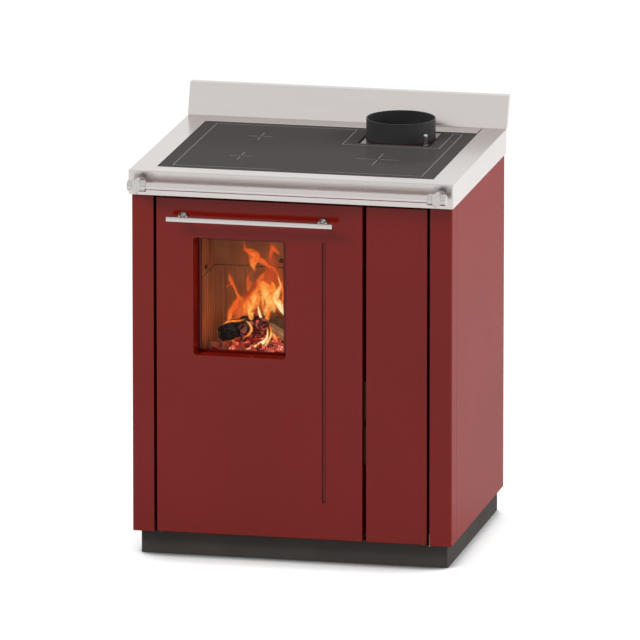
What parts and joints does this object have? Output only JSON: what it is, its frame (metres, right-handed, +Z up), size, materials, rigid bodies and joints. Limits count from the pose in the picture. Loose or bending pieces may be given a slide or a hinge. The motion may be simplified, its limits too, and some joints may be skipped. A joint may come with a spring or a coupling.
{
  "type": "wood-burning cookstove",
  "caption": "Freestanding wood-burning cookstove with a dark hob, a windowed fire door, a narrow service door, a front rail, a leaning splashback and a round flue collar.",
  "frame": {"origin": "on the floor, under the middle of the outline seen from above", "axes": "+Z up, front with the doors towards -Y, +X to the right seen from the front"},
  "size_m": [0.708, 0.662, 0.9185],
  "materials": {
    "red_enamel": "satin enamel",
    "plinth_paint": "matt paint",
    "black_steel": "matt heat-proof paint",
    "stainless": "brushed",
    "zinc_steel": "zinc plated",
    "dull_steel": "unpolished, heat dulled",
    "chrome": "polished",
    "cast_bright": "die-cast, satin plated",
    "hinge_steel": "black paint with a bare zinc leaf",
    "cast_iron": "as cast",
    "hob_glass": "opaque glass-ceramic, gloss",
    "window_glass": "clear heat-proof glass",
    "fire_lining": "dull, heat stained",
    "rope_seal": "woven rope",
    "red_seal": "heat-proof sealant",
    "black_seal": "heat-proof sealant",
    "insulation": "fibre board",
    "bush_brass": "turned",
    "brown_plastic": "moulded",
    "black_plastic": "moulded"
  },
  "bodies": {
    "stove_body": {"plinth": "plinth_paint", "base_plate": "black_steel", "left_corner_post": "red_enamel", "right_corner_post": "red_enamel", "left_side_panel": "red_enamel", "right_side_panel": "red_enamel", "rear_panel": "zinc_steel", "rear_panel_screws": "zinc_steel", "front_frame": "red_enamel", "divider_panel": "zinc_steel", "worktop": "stainless", "worktop_rear_strip": "stainless", "splashback": "stainless", "hob_well": "black_steel", "hob_glass": "hob_glass", "hob_seal": "black_seal", "flue_plate": "dull_steel", "flue_collar_seal": "red_seal", "flue_collar": "black_steel", "firebox_body": "black_steel", "hearth_bricks": "fire_lining", "fire_grate": "cast_iron", "lining_left": "fire_lining", "lining_right": "fire_lining", "lining_back": "fire_lining", "upper_lining_plates": "fire_lining", "lining_bolts": "black_steel", "baffle_plate": "fire_lining", "ash_housing": "black_steel", "ash_drawer": "zinc_steel", "log_bay_liner": "black_steel", "insulation_boards": "insulation", "service_niche": "black_steel", "air_plate": "zinc_steel", "catch_housing": "brown_plastic", "service_magnet": "black_plastic", "main_hinge_brackets": "hinge_steel", "service_hinge_brackets": "hinge_steel", "front_rail": "stainless", "left_rail_bracket": "cast_bright", "right_rail_bracket": "cast_bright"},
    "main_door": {"main_door_skin": "red_enamel", "inner_door_frame": "cast_iron", "door_rope_seal": "rope_seal", "window_seal": "rope_seal", "window_glass": "window_glass", "glass_retainers": "black_steel", "glass_retainer_screws": "zinc_steel", "door_spacers": "zinc_steel", "door_lower_panel": "black_steel", "main_door_bushes": "bush_brass", "door_handle_bar": "stainless", "door_handle_posts": "chrome"},
    "service_door": {"service_door_skin": "red_enamel", "service_door_bushes": "bush_brass"},
    "damper": {"damper_knob": "chrome", "damper_blade": "black_steel"},
    "air_regulator": {"air_knob": "black_plastic", "air_shutter": "zinc_steel"},
    "catch_roller": {"catch_roller": "brown_plastic"}
  },
  "joints": [
    {"name": "main_door_hinge", "type": "hinge", "parent": "stove_body", "child": "main_door", "pos_m": [-0.287, -0.261, 0.42], "axis": [0, 0, -1], "range_deg": [0, 95]},
    {"name": "service_door_hinge", "type": "hinge", "parent": "stove_body", "child": "service_door", "pos_m": [0.287, -0.261, 0.42], "axis": [0, 0, 1], "range_deg": [0, 95]},
    {"name": "damper_turn", "type": "hinge", "parent": "stove_body", "child": "damper", "pos_m": [0.216, 0.09, 0.848], "axis": [0, 0, 1], "range_deg": [0, 90]},
    {"name": "air_knob_turn", "type": "hinge", "parent": "stove_body", "child": "air_regulator", "pos_m": [0.231, -0.2, 0.3], "axis": [0, -1, 0], "range_deg": [0, 60]},
    {"name": "catch_roller_spin", "type": "hinge", "parent": "stove_body", "child": "catch_roller", "pos_m": [0.151, -0.24, 0.311], "axis": [0, 0, 1], "continuous": true}
  ]
}
